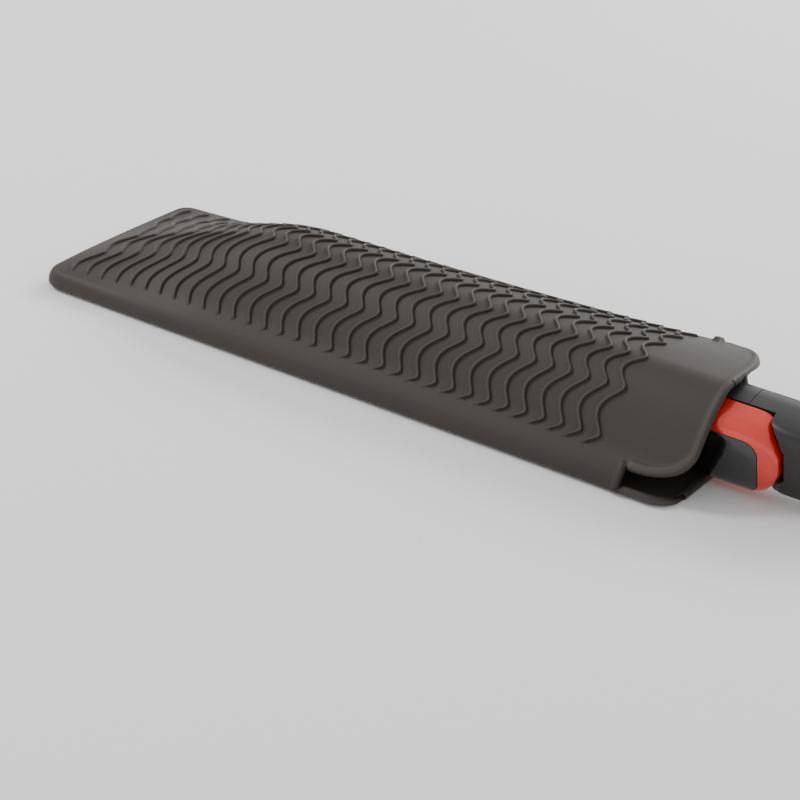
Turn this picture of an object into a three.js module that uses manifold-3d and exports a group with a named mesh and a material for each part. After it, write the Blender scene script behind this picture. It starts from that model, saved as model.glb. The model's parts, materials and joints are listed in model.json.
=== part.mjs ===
// A flat iron lying on its side in a heat-resistant silicone storage pouch.
// Millimetres, +Z up. The origin is on the flat underside of the pouch, at its mouth (x = 0),
// on the pouch's centre line. The pouch's closed end points along -X and the iron's tail along +X.
import * as THREE from 'three';
import { mergeVertices } from 'three/addons/utils/BufferGeometryUtils.js';
import Module from 'manifold-3d';

const wasm = await Module();
wasm.setup();

// ---- Driving dimensions: pouch ----
const POUCH_LENGTH = 290;        // closed end to the front end of the side seam
const FRONT_HALF = 50;           // plan width in front of the centre line
const BACK_HALF = 48.5;          // plan width behind it at the closed end
const BACK_PULL = 10.5;          // how far the bulge draws the back rim in at the mouth
const RIM = 9;                   // height of the moulded rim, and of the pouch where it is empty
const RIM_SPAN = 4.5;            // width of the rim's rounding
const RIM_LOW = 3;               // the rim's parting line lies this far above its underside
const WALL = 2.2;
const END_CORNER = 9;            // plan radius of the closed end's corners
const BACK_SEAM_X = -4;          // the back seam stops here, the front one at 0
const UPPER_LIP = 24.5;           // how far the tongues run past the front seam
const LOWER_LIP = 21;
const BACK_RISE = 23.5;           // how far the iron lifts the back rim at the mouth
const CREST_Z = 42;              // crest of the upper wall over the iron
const CREST_Y = -12.5;
const FLAT_Y = 9;                // the lower wall lies flat up to here and climbs behind it
const RAMP_START = -288;         // the upper wall climbs evenly from here towards its crest
const RAMP_LENGTH = 97;
const RAMP_EASE = 0.15;          // share of the climb that is rounded off at its top

// ---- Driving dimensions: iron ----
const IRON_Y = -11;              // middle of the closed arms' parting plane, in the pouch's frame
const IRON_Z = 20.3;
const ROLL = THREE.MathUtils.degToRad(15);
const TIP_X = -198;
const TIP_ROUND = 18;             // length of the tip's rounding
const TAIL_X = 78;
const BARREL_X = -92;            // where the heated barrel ends and the handle starts
const FRONT_DEPTH = 14.2;         // from the parting plane to each arm's outer face
const TAIL_FRONT = 9.8;          // the tail housing is slimmer in front, level with the arm's round end
const REAR_DEPTH = 17;
const BARREL_DEPTH = 12.6;
const HALF_WIDE = 16.2;
const SHELL_WALL = 1.8;
const PARTING = 0.5;             // half the gap between the closed arms
const SEAM_X = 33;               // joint between the rear arm's shell and the tail housing
const FRONT_TAIL_X = 51;
const HINGE_X = 40;
const HINGE_Y = -4;
const PIN_R = 2;
const FIT = 0.3;                 // gap between touching pieces
const TRIM_X = -62;              // the panel and its trim run from here to the front arm's tail
const SKIN = 1.5;                // thickness of the panel and the trim

// ---- Solids ----
function toSolid(geometry) {
  const bare = geometry.clone();
  bare.deleteAttribute('normal');
  bare.deleteAttribute('uv');
  const merged = mergeVertices(bare, 1e-4);
  const vertProperties = new Float32Array(merged.attributes.position.array);
  const triVerts = new Uint32Array(merged.index.array);
  return new wasm.Manifold(new wasm.Mesh({ numProp: 3, vertProperties, triVerts }));
}

function toGeometry(solid) {
  const mesh = solid.getMesh();
  const geometry = new THREE.BufferGeometry();
  geometry.setAttribute('position', new THREE.BufferAttribute(mesh.vertProperties, 3));
  geometry.setIndex(new THREE.BufferAttribute(mesh.triVerts, 1));
  return geometry;
}

function box(x0, x1, y0, y1, z0, z1) {
  const geometry = new THREE.BoxGeometry(x1 - x0, y1 - y0, z1 - z0);
  return toSolid(geometry.translate((x0 + x1) / 2, (y0 + y1) / 2, (z0 + z1) / 2));
}

function cylinder(axis, x, y, z, radius, length, sides = 20) {
  const geometry = new THREE.CylinderGeometry(radius, radius, length, sides);
  if (axis === 'x') geometry.rotateZ(Math.PI / 2);
  if (axis === 'z') geometry.rotateX(Math.PI / 2);
  return toSolid(geometry.translate(x, y, z));
}

// An outline in the y-z plane, drawn out from x0 to x1.
function bar(points, x0, x1) {
  const shape = new THREE.Shape(points.map(([y, z]) => new THREE.Vector2(y, z)));
  const geometry = new THREE.ExtrudeGeometry(shape, { depth: x1 - x0, bevelEnabled: false });
  const basis = new THREE.Matrix4().makeBasis(
    new THREE.Vector3(0, 1, 0),
    new THREE.Vector3(0, 0, 1),
    new THREE.Vector3(1, 0, 0),
  );
  return toSolid(geometry.applyMatrix4(basis).translate(x0, 0, 0));
}

// A solid through a row of rings; each ring is { x, points: [[y, z], ...] }, counter-clockwise
// when seen from +X, and every ring has the same number of points.
function loft(rings) {
  const count = rings[0].points.length;
  const positions = [];
  for (const ring of rings) {
    for (const [y, z] of ring.points) positions.push(ring.x, y, z);
  }
  const index = [];
  for (let i = 0; i < rings.length - 1; i++) {
    for (let j = 0; j < count; j++) {
      const a = i * count + j;
      const b = i * count + ((j + 1) % count);
      index.push(a, b, b + count, a, b + count, a + count);
    }
  }
  const last = (rings.length - 1) * count;
  const cap = (ring) => {
    const contour = ring.points.map(([y, z]) => new THREE.Vector2(y, z));
    return THREE.ShapeUtils.triangulateShape(contour, []);
  };
  for (const [a, b, c] of cap(rings[0])) index.push(a, c, b);
  for (const [a, b, c] of cap(rings[rings.length - 1])) index.push(last + a, last + b, last + c);
  const geometry = new THREE.BufferGeometry();
  geometry.setAttribute('position', new THREE.Float32BufferAttribute(positions, 3));
  geometry.setIndex(index);
  return toSolid(geometry);
}

// ---- Materials ----
function material(color, roughness, metalness = 0) {
  return new THREE.MeshStandardMaterial({ color, roughness, metalness });
}

const finishes = {
  silicone: [0x464340, 0.75, 0],
  casing: [0x3a3a3d, 0.6, 0],
  gloss: [0x0c0c0e, 0.12, 0],
  trim: [0xe0341c, 0.25, 0.8],
  liner: [0x1b1b1d, 0.5, 0],
  carrier: [0x24211f, 0.7, 0],
  plate: [0x7c7f86, 0.3, 0.9],
  ceramic: [0xe6e1d6, 0.7, 0],
  mica: [0xb59d6c, 0.5, 0],
  rubber: [0xa8452e, 0.8, 0],
  steel: [0xb9bcc0, 0.3, 1],
  brass: [0xc09a4c, 0.35, 1],
  board: [0x1d5b35, 0.5, 0],
  lead: [0xe9e6df, 0.6, 0],
};

const group = new THREE.Group();
const iron = new THREE.Group();
iron.position.set(0, IRON_Y, IRON_Z);
iron.rotation.x = ROLL;
group.add(iron);

function add(parent, name, finish, solid) {
  const mesh = new THREE.Mesh(toGeometry(solid), material(...finishes[finish]));
  mesh.name = name;
  parent.add(mesh);
}

// ---- Pouch ----
const smooth = (t) => THREE.MathUtils.smoothstep(t, 0, 1);
const along = (x) => THREE.MathUtils.clamp((x + POUCH_LENGTH) / POUCH_LENGTH, 0, 1);
const rimLift = (x) => BACK_RISE * along(x) ** 1.25;

// Share of the crest's height at x: an even climb that levels off smoothly.
function doming(x) {
  const climbed = THREE.MathUtils.clamp((x - RAMP_START) / RAMP_LENGTH, 0, 1 + RAMP_EASE);
  const rest = 1 + RAMP_EASE - climbed;
  return climbed < 1 - RAMP_EASE ? climbed : 1 - rest ** 2 / (4 * RAMP_EASE);
}

// Plan of the pouch: where its rim's rounding starts in front and behind.
function rimEdges(x) {
  const into = Math.min(POUCH_LENGTH + x, END_CORNER);
  const inset = END_CORNER - Math.sqrt(END_CORNER ** 2 - (END_CORNER - into) ** 2);
  const front = -(FRONT_HALF - RIM_SPAN - inset);
  const back = BACK_HALF - BACK_PULL * along(x) ** 2 - RIM_SPAN - inset;
  return { front, back };
}

// Height of the pouch's upper and lower outer surfaces at a point of its plan.
function upperZ(x, y) {
  const { front, back } = rimEdges(x);
  const backTop = RIM + rimLift(x);
  const level = THREE.MathUtils.lerp(RIM, backTop, smooth((y - front) / (back - front)));
  const quarter = Math.PI / 2;
  const climb = RIM + (CREST_Z - RIM) * Math.sin(quarter * (y - front) / (CREST_Y - front));
  const fall = backTop + (CREST_Z - backTop) * Math.cos(quarter * (y - CREST_Y) / (back - CREST_Y));
  return THREE.MathUtils.lerp(level, y < CREST_Y ? climb : fall, doming(x));
}

function lowerZ(x, y) {
  if (y <= FLAT_Y) return 0;
  return rimLift(x) * ((y - FLAT_Y) / (rimEdges(x).back - FLAT_Y)) ** 1.5;
}

// The pouch's outline at one station, counter-clockwise when seen from +X, from the front parting
// line under the pouch to the back one and back over the top. depth moves it inwards.
const RIM_STEPS = 3;
const UPPER_STEPS = 14;
const LOWER_STEPS = 10;

function pouchRing(x, depth) {
  const { front, back } = rimEdges(x);
  const lift = rimLift(x);
  const outline = [];
  const rimArc = (y, z, from, low) => {
    for (let i = 0; i <= RIM_STEPS; i++) {
      const angle = from + (Math.PI / 2) * (i / RIM_STEPS);
      const rise = low ? RIM_LOW : RIM - RIM_LOW;
      outline.push([y + RIM_SPAN * Math.cos(angle), z + rise * Math.sin(angle)]);
    }
  };
  rimArc(front, RIM_LOW, Math.PI, true);
  for (let i = 1; i < LOWER_STEPS; i++) {
    const y = THREE.MathUtils.lerp(front, back, i / LOWER_STEPS);
    outline.push([y, lowerZ(x, y)]);
  }
  rimArc(back, RIM_LOW + lift, -Math.PI / 2, true);
  outline.pop();
  rimArc(back, RIM_LOW + lift, 0, false);
  for (let i = 1; i < UPPER_STEPS; i++) {
    const y = THREE.MathUtils.lerp(back, front, i / UPPER_STEPS);
    outline.push([y, upperZ(x, y)]);
  }
  rimArc(front, RIM_LOW, Math.PI / 2, false);
  outline.pop();
  const points = outline.map((point, i) => {
    const before = outline[(i + outline.length - 1) % outline.length];
    const after = outline[(i + 1) % outline.length];
    const dy = after[0] - before[0];
    const dz = after[1] - before[1];
    const length = Math.hypot(dy, dz);
    return [point[0] - (depth * dz) / length, point[1] + (depth * dy) / length];
  });
  return { x, points };
}

const endStations = [-290, -289.3, -287.5, -285, -281];
const bodyXs = [-272, -250, -228, -206, -198, -190, -183, -176, -140, -90, -45, 0];
const PAST_MOUTH = 30;
const outerStations = [...endStations, ...bodyXs, PAST_MOUTH];
const innerStations = [-290 + 2 * WALL, -283, -279, ...bodyXs, PAST_MOUTH + 4];
const wholeOuter = loft(outerStations.map((x) => pouchRing(x, 0)));
const wholeInner = loft(innerStations.map((x) => pouchRing(x, WALL)));

// Everything above the ruled surface through the rim's two parting lines, moved up by rise.
const aboveParting = (rise) => loft([-300, ...bodyXs, 40].map((x) => {
  const front = RIM_LOW + rise;
  const back = front + rimLift(x);
  return { x, points: [[-60, front], [-49, front], [42, back], [60, back], [60, 90], [-60, 90]] };
}));

// Plan of one wall: its side seams stop at the mouth and a tongue with round corners goes on. The
// front corner is a quarter ellipse round [x, y] with these radii, and a long one ends at the back.
function wallPlan(lip, frontY, corner, backStart, backEnd) {
  const plan = new THREE.Shape();
  plan.moveTo(-300, -60);
  plan.lineTo(0, -60);
  plan.lineTo(0, frontY);
  const [rx, ry] = corner;
  plan.absellipse(lip - rx, frontY + ry, rx, ry, -Math.PI / 2, 0, false, 0);
  const reach = lip - BACK_SEAM_X;
  plan.absellipse(BACK_SEAM_X, backStart, reach, backEnd - backStart, 0, Math.PI / 2, false, 0);
  plan.lineTo(BACK_SEAM_X, 60);
  plan.lineTo(-300, 60);
  const geometry = new THREE.ExtrudeGeometry(plan, { depth: 100, bevelEnabled: false, curveSegments: 8 });
  return toSolid(geometry.translate(0, 0, -5));
}

const pouchShell = wholeOuter.subtract(wholeInner);
const upperPlan = wallPlan(UPPER_LIP, -45, [21, 8], -6, 38);
const lowerPlan = wallPlan(LOWER_LIP, -49.8, [12.5, 12.5], 0, 38);
add(group, 'pouch_upper_wall', 'silicone', pouchShell.intersect(aboveParting(FIT / 2)).intersect(upperPlan));
add(group, 'pouch_lower_wall', 'silicone', pouchShell.subtract(aboveParting(-FIT / 2)).intersect(lowerPlan));

// ---- Iron: sections ----
// The closed iron's size along its length: the depth of each arm from the parting plane, and half
// its width. Both ends are rounded.
function ironSize(x) {
  const tip = THREE.MathUtils.clamp((x - TIP_X) / TIP_ROUND, 0, 1);
  const tail = THREE.MathUtils.clamp((TAIL_X - x) / 22, 0, 1);
  const round = (t) => (1 - (1 - t) ** 2.4) ** (1 / 2.4);
  const grip = smooth((x - BARREL_X + 10) / 70);
  const ends = (0.45 + 0.55 * round(tip)) * (0.62 + 0.38 * round(tail));
  return {
    front: FRONT_DEPTH * ends,
    rear: THREE.MathUtils.lerp(BARREL_DEPTH, REAR_DEPTH, grip) * ends,
    wide: HALF_WIDE * (0.94 + 0.06 * grip) * (0.55 + 0.45 * round(tip)) * (0.6 + 0.4 * round(tail)),
  };
}

// The front arm's own tail: a round end inside the fork of the tail housing.
function frontSize(x) {
  const { front, rear, wide } = ironSize(x);
  const into = THREE.MathUtils.clamp((x - 37) / (FRONT_TAIL_X - 37), 0, 1);
  const end = (1 - into ** 2.3) ** (1 / 2.3);
  return { front: front * (0.68 + 0.32 * end), rear, wide: Math.max(wide * end, 5) };
}

// The tail housing's front half rises round the arm's end, from the parting plane at the seam.
const TAIL_RISE = 18;
function tailSize(x) {
  const { front, rear, wide } = ironSize(x);
  const risen = TAIL_FRONT * smooth((x - SEAM_X) / TAIL_RISE);
  return { front: Math.min(front, Math.max(risen, PARTING)), rear, wide };
}

// A rounded section, from angle start to angle end, inset by depth.
const FRONT_POWER = 2 / 5;
const REAR_POWER = 2 / 3.5;
const HALF_STEPS = 18;           // sides of half a section
function section({ front, rear, wide }, depth, start, end, steps) {
  const points = [];
  for (let i = 0; i <= steps; i++) {
    const angle = start + (end - start) * (i / steps);
    const cos = Math.cos(angle);
    const sin = Math.sin(angle);
    const power = cos < 0 ? FRONT_POWER : REAR_POWER;
    const reach = cos < 0 ? front : rear;
    const y = (reach - depth) * Math.sign(cos) * Math.abs(cos) ** power;
    const z = (wide - depth) * Math.sign(sin) * Math.abs(sin) ** power;
    points.push([y, z]);
  }
  return points;
}

// One half of the iron (side -1 front, +1 rear), cut at the parting plane. Its flat side is at
// distance gap from the plane. pull draws the rings beyond the hinge back towards it.
function halfSolid(side, xs, size, depth, gap, pull = 0) {
  const rings = xs.map((x) => {
    const back = pull * Math.max(0, (x - HINGE_X) / (FRONT_TAIL_X - HINGE_X));
    const start = side > 0 ? -Math.PI / 2 : Math.PI / 2;
    const points = section(size(x), depth, start, start + Math.PI, HALF_STEPS);
    points[0][0] = side * gap;
    points[points.length - 1][0] = side * gap;
    return { x: x - back, points };
  });
  return loft(rings);
}

const tipStations = [0, 0.07, 0.25, 0.55, 1].map((t) => TIP_X + t * TIP_ROUND);
const bodyStations = [BARREL_X - 10, BARREL_X + 12, -58, -32];

const innerTip = [TIP_X + 3, ...tipStations.slice(3)];

// ---- Iron: rear arm ----
const rearOuter = halfSolid(1, [...tipStations, ...bodyStations, SEAM_X - FIT], ironSize, 0, PARTING);
const rearInner = halfSolid(1, [...innerTip, ...bodyStations, SEAM_X + 2], ironSize, SHELL_WALL, -3);
const COVER_SCREWS_X = [BARREL_X + 9, 14];
const COVER_NEAR = 2;            // the inner covers' two faces, as distances from the parting plane
const COVER_FAR = 3.6;

function withBosses(shell, side, core) {
  let solid = shell;
  for (const x of COVER_SCREWS_X) {
    const boss = cylinder('y', x, side * (COVER_FAR + FIT + REAR_DEPTH / 2), 0, 3, REAR_DEPTH, 14);
    const pilot = cylinder('y', x, side * (COVER_FAR + 3), 0, 1.2 + FIT, 8, 10);
    solid = solid.add(boss.intersect(core)).subtract(pilot);
  }
  return solid;
}

const rearCore = halfSolid(1, [...bodyStations, SEAM_X - 2], ironSize, SHELL_WALL / 2, 0.9);
let rearShell = withBosses(rearOuter.subtract(rearInner), 1, rearCore);
const BOARD_Y = 6.2;
const BOARD_THICK = 1.4;
for (const x of [-62, 2]) {
  const post = box(x - 2, x + 2, BOARD_Y + BOARD_THICK + FIT, REAR_DEPTH, -2, 2);
  rearShell = rearShell.add(post.intersect(rearCore));
}
add(iron, 'rear_arm_shell', 'casing', rearShell);

// ---- Iron: tail housing, with the fork that the front arm turns in ----
const forkStations = [20, 34, 37, 40, 43, 46, 48.5, 50.2, FRONT_TAIL_X];
const TAIL_GAP = 1.5;
const pocketRings = forkStations.map((x) => {
  const { wide } = frontSize(x);
  const reach = wide + TAIL_GAP;
  const moved = x > HINGE_X ? x + TAIL_GAP * (x - HINGE_X) / (FRONT_TAIL_X - HINGE_X) : x;
  return { x: moved, points: [[-40, -reach], [PARTING, -reach], [PARTING, reach], [-40, reach]] };
});
const forkPocket = loft(pocketRings);
const tailRings = [SEAM_X, 37, 41, 44, 47, 51, 56, 62, 68, 73, 76.3, TAIL_X];
const fullSolid = (xs, depth) => loft(xs.map((x) => {
  const points = section(tailSize(x), depth, 0, 2 * Math.PI, 2 * HALF_STEPS);
  points.pop();
  return { x, points };
}));
const tailOuter = fullSolid(tailRings, 0);
const tailCavity = fullSolid([55.5, 62, 68, 73], 2.2).add(
  halfSolid(1, [SEAM_X + 2.5, 44, 56.5], ironSize, 2.2, 3),
);
const BACK_COVER_Y = 12;
const behind = box(SEAM_X + 4, TAIL_X - 8, BACK_COVER_Y, 30, -30, 30);
const knuckle = (z0, z1) => cylinder('z', HINGE_X, HINGE_Y, (z0 + z1) / 2, 3.9, z1 - z0, 20)
  .add(box(HINGE_X - 3.6, HINGE_X + 3.6, HINGE_Y, 4, z0, z1));
const pinBore = cylinder('z', HINGE_X, HINGE_Y, 0, PIN_R + FIT, 60, 20);
const spigot = box(SEAM_X - 9, SEAM_X + 4, 6.2, 12, -9, 9);
const MAINS_Z = 11.2;            // the mains leads pass the spigot on both sides
const leadHoles = [-1, 1].map((s) => cylinder('x', SEAM_X, 6, s * MAINS_Z, 1.4, 12, 10));
const COVER_COLUMNS = [{ x: 45, from: 2 }, { x: 61, from: 1.2 - TAIL_FRONT }];
const SWIVEL_R = 5;
const swivelHole = cylinder('x', TAIL_X, 0, 0, SWIVEL_R + FIT, 20, 24);
let tailHousing = tailOuter
  .subtract(forkPocket)
  .subtract(tailCavity)
  .subtract(behind)
  .add(knuckle(-8, -4))
  .add(knuckle(4, 8))
  .add(spigot)
  .subtract(pinBore)
  .subtract(swivelHole);
for (const hole of leadHoles) tailHousing = tailHousing.subtract(hole);
let backCover = tailOuter
  .intersect(box(SEAM_X + 4 + FIT, TAIL_X - 8 - FIT, BACK_COVER_Y + FIT, 30, -30, 30));
const HEAD_Y = 14.6;
for (const { x, from } of COVER_COLUMNS) {
  const column = cylinder('y', x, (from + BACK_COVER_Y) / 2, 0, 2.6, BACK_COVER_Y - from, 12);
  const hole = cylinder('y', x, BACK_COVER_Y, 0, 1.2 + FIT, 12, 10);
  const recess = cylinder('y', x, HEAD_Y - FIT + 10, 0, 2.4 + FIT, 20, 14);
  tailHousing = tailHousing.add(column).subtract(hole);
  backCover = backCover.subtract(hole).subtract(recess);
}
add(iron, 'tail_housing', 'casing', tailHousing);
add(iron, 'tail_back_cover', 'casing', backCover);

// ---- Iron: front arm ----
const frontStations = [...tipStations, ...bodyStations, 34, 37, 40, 43, 46, 48.5, 50.2, 50.8, FRONT_TAIL_X];
const OPEN_ANGLE = THREE.MathUtils.degToRad(16);
const relief = toSolid(new THREE.BoxGeometry(40, 20, 60).translate(20, 10, 0)
  .rotateZ(-OPEN_ANGLE).translate(HINGE_X + 2, -PARTING, 0));
const frontFull = halfSolid(-1, frontStations, frontSize, 0, PARTING);
const skinStations = [-68, -58, -32, 34, 37, 40, 43, 46, 48.5, 50.2];
const underSkin = halfSolid(-1, skinStations, frontSize, SKIN + FIT, PARTING, SKIN + FIT);
const frontOuter = frontFull.intersect(box(-300, TRIM_X - FIT, -30, 5, -30, 30)).add(underSkin);
const frontInner = halfSolid(-1, [...innerTip, ...bodyStations, 34, 37, 40, 43, 46, 47.5], frontSize,
  SHELL_WALL + SKIN + FIT, -3);
const frontBarrelInner = halfSolid(-1, [...innerTip, BARREL_X], frontSize, SHELL_WALL, -3);
const faceSkin = frontFull
  .intersect(box(TRIM_X, 60, -30, 5, -30, 30))
  .subtract(halfSolid(-1, skinStations, frontSize, SKIN, -3, SKIN))
  .subtract(relief);

// The panel's window in the trim: a long opening with a round end towards the tail. It reaches
// further down than up, so the trim's lower leg is narrow.
const WINDOW_TOP = 10.6;
const WINDOW_BOTTOM = 14.2;
const WINDOW_END = 43.5;
const WINDOW_CORNER = 6;
function panelWindow(grow) {
  const top = WINDOW_TOP + grow;
  const bottom = WINDOW_BOTTOM + grow;
  const end = WINDOW_END + grow;
  const corner = WINDOW_CORNER + grow;
  const shape = new THREE.Shape();
  shape.moveTo(TRIM_X - 10, -bottom);
  shape.lineTo(end - corner, -bottom);
  shape.absarc(end - corner, corner - bottom, corner, -Math.PI / 2, 0, false);
  shape.absarc(end - corner, top - corner, corner, 0, Math.PI / 2, false);
  shape.lineTo(TRIM_X - 10, top);
  const geometry = new THREE.ExtrudeGeometry(shape, { depth: 30, bevelEnabled: false, curveSegments: 10 });
  return toSolid(geometry.rotateX(Math.PI / 2));
}
const frontCore = halfSolid(-1, frontStations, frontSize, SKIN + FIT + SHELL_WALL / 2, 0.9, 3);
const frontCheeks = [-1, 1].map((s) => cylinder('z', HINGE_X, HINGE_Y, s * 12, 5.4, 6, 20));
const bushHoles = [-1, 1].map((s) => cylinder('z', HINGE_X, HINGE_Y, s * 10.4, 3.8, 4, 20));
let frontShell = frontOuter.subtract(frontInner).subtract(frontBarrelInner);
for (const cheek of frontCheeks) frontShell = frontShell.add(cheek.intersect(frontCore));
for (const hole of bushHoles) frontShell = frontShell.subtract(hole);
frontShell = withBosses(frontShell, -1, frontCore).subtract(relief);
add(iron, 'front_arm_shell', 'liner', frontShell);
add(iron, 'gloss_panel', 'gloss', faceSkin.intersect(panelWindow(-FIT / 2)));
add(iron, 'accent_trim', 'trim', faceSkin.subtract(panelWindow(FIT / 2)));

// ---- Hinge ----
add(iron, 'hinge_pin', 'steel', cylinder('z', HINGE_X, HINGE_Y, 0, PIN_R, 23.4, 20));
for (const [name, s] of [['hinge_bush_lower', -1], ['hinge_bush_upper', 1]]) {
  const bush = cylinder('z', HINGE_X, HINGE_Y, s * 10.4, 3.5, 3.4, 20);
  add(iron, name, 'brass', bush.subtract(pinBore));
}

// A path with a constant number of steps, drawn with a small polygon section.
function wire(points, radius, steps, sides = 4) {
  const shape = new THREE.Shape();
  shape.absarc(0, 0, radius, 0, 2 * Math.PI, false);
  const path = new THREE.CatmullRomCurve3(points.map((p) => new THREE.Vector3(...p)));
  const options = { steps, extrudePath: path, bevelEnabled: false, curveSegments: sides };
  return toSolid(new THREE.ExtrudeGeometry(shape, options));
}

function springPath() {
  const turns = 3;
  const points = [[HINGE_X - 18, 1.1, -2.6], [HINGE_X - 8, -0.4, -2.6]];
  for (let i = 0; i <= turns * 8; i++) {
    const angle = Math.PI / 2 + (i / 8) * 2 * Math.PI;
    const z = -2.6 + (5.2 * i) / (turns * 8);
    points.push([HINGE_X + 3.6 * Math.cos(angle), HINGE_Y + 3.6 * Math.sin(angle), z]);
  }
  points.push([HINGE_X - 8, -0.8, 2.6], [HINGE_X - 18, -1.1, 2.6]);
  return points;
}
add(iron, 'hinge_spring', 'steel', wire(springPath(), 0.55, 70));


// ---- Heated barrel: one set in each arm ----
const PLATE_X = [TIP_X + 10, BARREL_X - 6];
const HEATER_X = [TIP_X + 20, BARREL_X - 26];
const mirrored = (side, points) => points.map(([y, z]) => [side * y, z]);

function screw(side, x, headNear, length) {
  const head = cylinder('y', x, side * (headNear + 0.55), 0, 2.4, 1.1, 14);
  const shaft = cylinder('y', x, side * (headNear + 0.9 + length / 2), 0, 1.2, length, 10);
  return head.add(shaft);
}

function heatedSet(side, arm, sensorName) {
  const plate = bar(mirrored(side, [
    [0.4, -11.8], [0.4, 11.8], [1, 12.2], [2.6, 12.2], [2.6, 8.6], [5, 8.6], [5, 7.2], [2.6, 7.2],
    [2.6, -7.2], [5, -7.2], [5, -8.6], [2.6, -8.6], [2.6, -12.2], [1, -12.2],
  ]), ...PLATE_X);
  const carrier = bar(mirrored(side, [
    [3.6, -11.1], [3.6, -9.2], [7.3, -9.2], [7.3, 9.2], [3.6, 9.2], [3.6, 11.1],
    [7, 11.1], [8.6, 9.2], [8.6, -9.2], [7, -11.1],
  ]), TIP_X + 13, BARREL_X - 4);
  const slab = (x0, x1, near, far, z) => box(
    x0, x1, Math.min(side * near, side * far), Math.max(side * near, side * far), -z, z,
  );
  add(iron, `${arm}_heating_plate`, 'plate', plate);
  add(iron, `${arm}_plate_carrier`, 'carrier', carrier);
  add(iron, `${arm}_heater`, 'ceramic', slab(...HEATER_X, 2.9, 4.45, 6.9));
  add(iron, `${arm}_mica_insulator`, 'mica', slab(...HEATER_X, 4.75, 5.1, 6.9));
  add(iron, `${arm}_cushion_tip`, 'rubber', slab(TIP_X + 20, TIP_X + 34, 5.9, 7, 8.6));
  add(iron, `${arm}_cushion_root`, 'rubber', slab(BARREL_X - 30, BARREL_X - 16, 5.9, 7, 8.6));
  const bead = new THREE.CapsuleGeometry(0.75, 8, 3, 8).rotateZ(Math.PI / 2);
  add(iron, sensorName, 'ceramic', toSolid(bead.translate(BARREL_X - 16, side * 3.7, 0)));
}
heatedSet(1, 'rear', 'rear_temperature_sensor');
heatedSet(-1, 'front', 'front_thermal_fuse');

// ---- Handle: inner covers, controls and board ----
const COVER_X = [BARREL_X + 0.5, 26];
const coverWidth = { rear: 12.9, front: 11.2 };

function innerCover(side, half) {
  const near = Math.min(side * COVER_NEAR, side * COVER_FAR);
  let cover = box(...COVER_X, near, near + COVER_FAR - COVER_NEAR, -half, half);
  for (const x of COVER_SCREWS_X) {
    cover = cover.subtract(cylinder('y', x, side * 3, 0, 1.2 + FIT, 8, 12));
  }
  return cover;
}

const POWER_X = -4;
const KEY_X = { plus: -58, minus: -70 };
const KEY_R = 3;
const DISPLAY_X = [-44, -22];
const DISPLAY_Z = 4.5;
let rearCover = innerCover(1, coverWidth.rear);
for (const x of [POWER_X, KEY_X.plus, KEY_X.minus]) {
  rearCover = rearCover.subtract(cylinder('y', x, 3, 0, KEY_R + FIT, 8, 20));
}
rearCover = rearCover.subtract(box(
  DISPLAY_X[0] - FIT, DISPLAY_X[1] + FIT, 0, 6, -DISPLAY_Z - FIT, DISPLAY_Z + FIT,
));
add(iron, 'rear_inner_cover', 'liner', rearCover);
add(iron, 'front_inner_cover', 'liner', innerCover(-1, coverWidth.front));

// A key: a round cap through the cover with a flange behind it that keeps it in.
function key(x) {
  const cap = cylinder('y', x, (1.1 + 5) / 2, 0, KEY_R, 5 - 1.1, 20);
  return cap.add(cylinder('y', x, 4.6, 0, KEY_R + 1, 0.8, 20));
}
add(iron, 'power_button', 'trim', key(POWER_X));
add(iron, 'plus_button', 'liner', key(KEY_X.plus));
add(iron, 'minus_button', 'liner', key(KEY_X.minus));
add(iron, 'display_window', 'gloss', box(...DISPLAY_X, 1.7, 4, -DISPLAY_Z, DISPLAY_Z));

const BOARD_X = [-78, 8];
let board = box(...BOARD_X, BOARD_Y, BOARD_Y + BOARD_THICK, -9, 9);
for (const x of [POWER_X, KEY_X.plus, KEY_X.minus]) {
  board = board.add(box(x - 2.2, x + 2.2, 5.7, BOARD_Y + 0.2, -2.2, 2.2));
}
board = board.add(box(-42, -24, 4.4, BOARD_Y + 0.2, -4, 4));
board = board.add(box(-16, -9, 5, BOARD_Y + 0.2, -6, 1));
add(iron, 'circuit_board', 'board', board);

for (const [i, x] of COVER_SCREWS_X.entries()) {
  add(iron, `rear_cover_screw_${i + 1}`, 'steel', screw(1, x, 0.6, 7));
  add(iron, `front_cover_screw_${i + 1}`, 'steel', screw(-1, x, 0.6, 7));
}
for (const [i, { x }] of COVER_COLUMNS.entries()) {
  const head = cylinder('y', x, HEAD_Y + 0.55, 0, 2.4, 1.1, 14);
  const shaft = cylinder('y', x, HEAD_Y + 0.2 - 4, 0, 1.2, 8, 10);
  add(iron, `tail_screw_${i + 1}`, 'steel', head.add(shaft));
}

// ---- Leads, each held in its housing along its whole route ----
const LEAD_R = 0.9;
for (const [i, s] of [-1, 1].entries()) {
  const start = BARREL_X - 5.4;
  const rear = [[start, 4, s * 5], [start + 6, 5.4, s * 5.6], [start + 12.5, 6.6, s * 6.6],
    [-78.5, 6.9, s * 5.6]];
  const front = [[start, -4, s * 5], [start + 6, -5.4, s * 5.6], [start + 17, -5.8, s * 6.6],
    [-50, -5.8, s * 6.6], [0, -5.8, s * 6.6], [24, -5.8, s * 6.6]];
  const mains = [[8.5, 6.9, s * 6], [15, 6.2, s * 9], [24, 6, s * MAINS_Z], [40, 6, s * MAINS_Z],
    [48, 6, s * 9.4], [56, 5, s * 6.6], [63, 2.6, s * 3.8], [69, 0.5, s * 1.4]];
  add(iron, `rear_heater_lead_${i + 1}`, 'lead', wire(rear, LEAD_R, 12));
  add(iron, `front_heater_lead_${i + 1}`, 'lead', wire(front, LEAD_R, 16));
  add(iron, `mains_lead_${i + 1}`, 'lead', wire(mains, LEAD_R, 20));
}

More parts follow.
